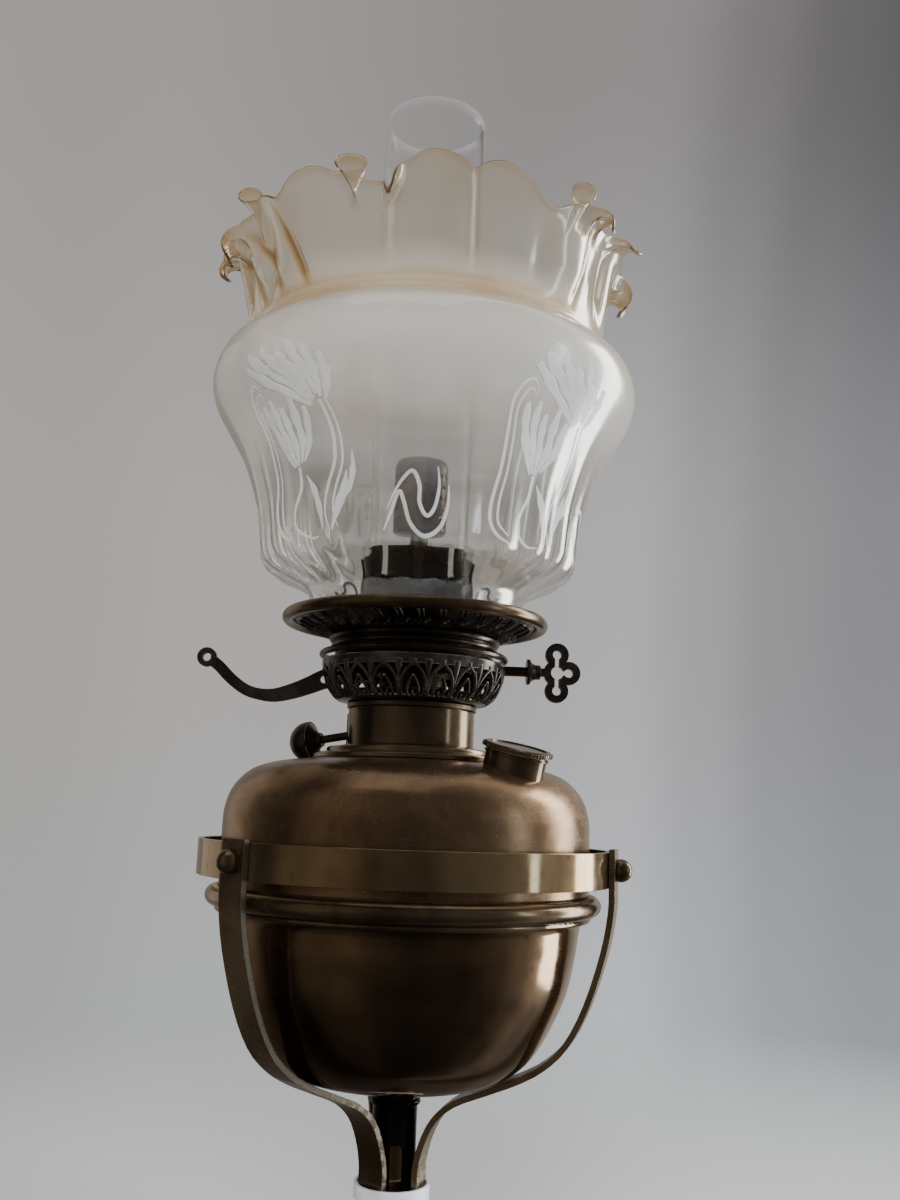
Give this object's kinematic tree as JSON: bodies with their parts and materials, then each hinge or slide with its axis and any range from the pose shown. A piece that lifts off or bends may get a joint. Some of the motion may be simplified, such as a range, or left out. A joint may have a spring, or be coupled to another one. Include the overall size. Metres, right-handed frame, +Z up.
{
  "type": "oil lamp",
  "caption": "Brass centre-draught oil lamp head in a three-strap cradle, with clear chimney, frilled amber glass shade, lifting gallery, wick winder and extinguisher lever.",
  "frame": {"origin": "lamp axis at the open end of the socket in the stem, where the head slips on its stand", "axes": "+Z up along the lamp axis; the front, as seen in use, faces -Y; the extinguisher lever points to -X and the key to +X"},
  "size_m": [0.2048, 0.2048, 0.5493],
  "materials": {
    "antique_brass": "aged, brown patina, polished on the high spots",
    "dark_brass": "dark brown patina",
    "burner_brass": "heat-darkened",
    "blackened_brass": "blackened, semi-matt",
    "tinned_band": "dull silver-white",
    "washer_leather": "matt",
    "wick_cotton": "woven cotton",
    "chimney_glass": "clear, thin",
    "shade_glass": "clear to frosted, amber at the frill, etched flowers"
  },
  "bodies": {
    "cradle": {"stem": "antique_brass", "strap_front_left": "dark_brass", "strap_right": "dark_brass", "strap_rear": "dark_brass", "cradle_ring": "antique_brass", "ring_screws": "dark_brass", "stem_screws": "dark_brass", "stem_band": "tinned_band"},
    "font": {"font_bowl": "antique_brass", "font_dome": "antique_brass", "seam_bead": "dark_brass", "shoulder_ring": "antique_brass", "font_collar": "antique_brass", "draught_tube": "blackened_brass", "centre_tube": "burner_brass", "outer_wick_tube": "burner_brass", "filler_neck": "antique_brass", "winder_plate": "antique_brass", "burner_collar": "burner_brass", "burner_basket": "blackened_brass", "basket_rim": "dark_brass", "air_diffuser": "burner_brass", "lever_bracket": "burner_brass", "lever_pin": "antique_brass", "key_bracket": "burner_brass"},
    "cap": {"filler_cap": "antique_brass", "cap_washer": "washer_leather"},
    "winder": {"winder_shaft": "burner_brass", "winder_knob": "blackened_brass", "winder_pinion": "burner_brass"},
    "wick": {"wick": "wick_cotton", "wick_carrier": "burner_brass"},
    "key": {"key_shaft": "burner_brass", "trefoil_key": "blackened_brass", "key_pinion": "burner_brass"},
    "gallery": {"gallery_neck": "dark_brass", "gallery_plate": "blackened_brass", "gallery_rim": "antique_brass", "gallery_floor": "burner_brass", "chimney_crown": "blackened_brass", "crown_scrolls": "blackened_brass", "gallery_rack": "burner_brass"},
    "sleeve": {"extinguisher_sleeve": "burner_brass"},
    "lever": {"lever": "blackened_brass"},
    "spreader": {"flame_spreader": "burner_brass", "spreader_stem": "burner_brass"},
    "chimney": {"chimney": "chimney_glass"},
    "shade": {"shade": "shade_glass"}
  },
  "joints": [
    {"name": "font_lift", "type": "slide", "parent": "cradle", "child": "font", "axis": [0, 0, 1], "range_m": [0, 0.12]},
    {"name": "cap_lift", "type": "slide", "parent": "font", "child": "cap", "axis": [0.1711, -0.1711, 0.9703], "range_m": [0, 0.02]},
    {"name": "wick_raise", "type": "slide", "parent": "font", "child": "wick", "axis": [0, 0, 1], "range_m": [-0.0068, 0.0054]},
    {"name": "wick_turn", "type": "hinge", "parent": "font", "child": "winder", "pos_m": [0, 0, 0.23966], "axis": [-0.9276, 0.3376, -0.1599], "range_deg": [-112, 92]},
    {"name": "gallery_raise", "type": "slide", "parent": "font", "child": "gallery", "axis": [0, 0, 1], "range_m": [0, 0.0098]},
    {"name": "key_turn", "type": "hinge", "parent": "font", "child": "key", "pos_m": [0, 0, 0.267], "axis": [1, 0, 0], "range_deg": [-8, 152]},
    {"name": "lever_swing", "type": "hinge", "parent": "font", "child": "lever", "pos_m": [-0.03, 0, 0.261], "axis": [0, -1, 0], "range_deg": [0, 26]},
    {"name": "sleeve_raise", "type": "slide", "parent": "font", "child": "sleeve", "axis": [0, 0, 1], "range_m": [0, 0.0062]},
    {"name": "spreader_lift", "type": "slide", "parent": "font", "child": "spreader", "axis": [0, 0, 1], "range_m": [0, 0.04]},
    {"name": "chimney_lift", "type": "slide", "parent": "gallery", "child": "chimney", "axis": [0, 0, 1], "range_m": [0, 0.2]},
    {"name": "shade_lift", "type": "slide", "parent": "gallery", "child": "shade", "axis": [0, 0, 1], "range_m": [0, 0.12]}
  ],
  "couplings": [
    {"joint": "wick_turn", "follows": "wick_raise", "rad_per_m": 253.16},
    {"joint": "key_turn", "follows": "gallery_raise", "rad_per_m": 250},
    {"joint": "sleeve_raise", "follows": "lever_swing", "m_per_rad": 0.0132}
  ]
}
